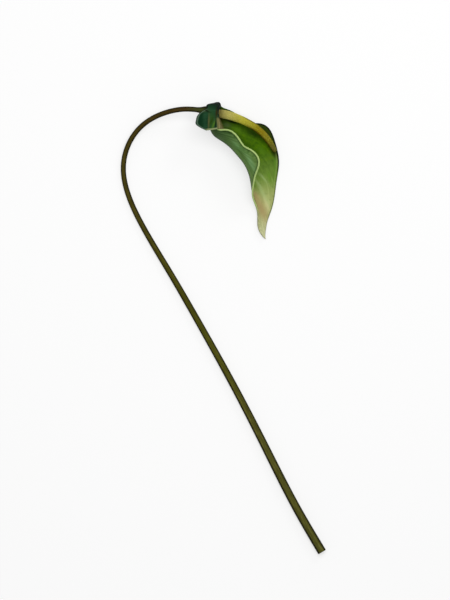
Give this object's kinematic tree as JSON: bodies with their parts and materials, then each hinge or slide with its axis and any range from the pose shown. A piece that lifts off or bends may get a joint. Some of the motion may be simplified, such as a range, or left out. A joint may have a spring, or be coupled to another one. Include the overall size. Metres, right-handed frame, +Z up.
{
  "type": "calla lily stem",
  "caption": "Cut calla lily lying down: a long bare stem bent over at its top carries a green spathe, rolled round a slim spadix, with a waved margin, a turned-back collar and a pointed tip.",
  "frame": {"origin": "middle of the whole outline seen from above, on the surface that the flower lies on", "axes": "+Z up from that surface towards the picture's camera, +Y from the cut end's side to the bloom's side, which is up in the picture, +X to the right in the picture"},
  "size_m": [0.205, 0.4521, 0.0471],
  "materials": {
    "stem": "smooth olive green skin with a waxy sheen, finely striped along its length, browner near the bloom",
    "spathe": "soft satin skin, bright green inside, dusty blue green outside, with a pale margin and a cream tip",
    "spadix": "matt and finely pebbled, cream at the seat, mustard yellow along it and olive at the tip"
  },
  "bodies": {
    "root": {"stem": "stem", "spathe": "spathe", "spadix": "spadix"}
  },
  "joints": []
}
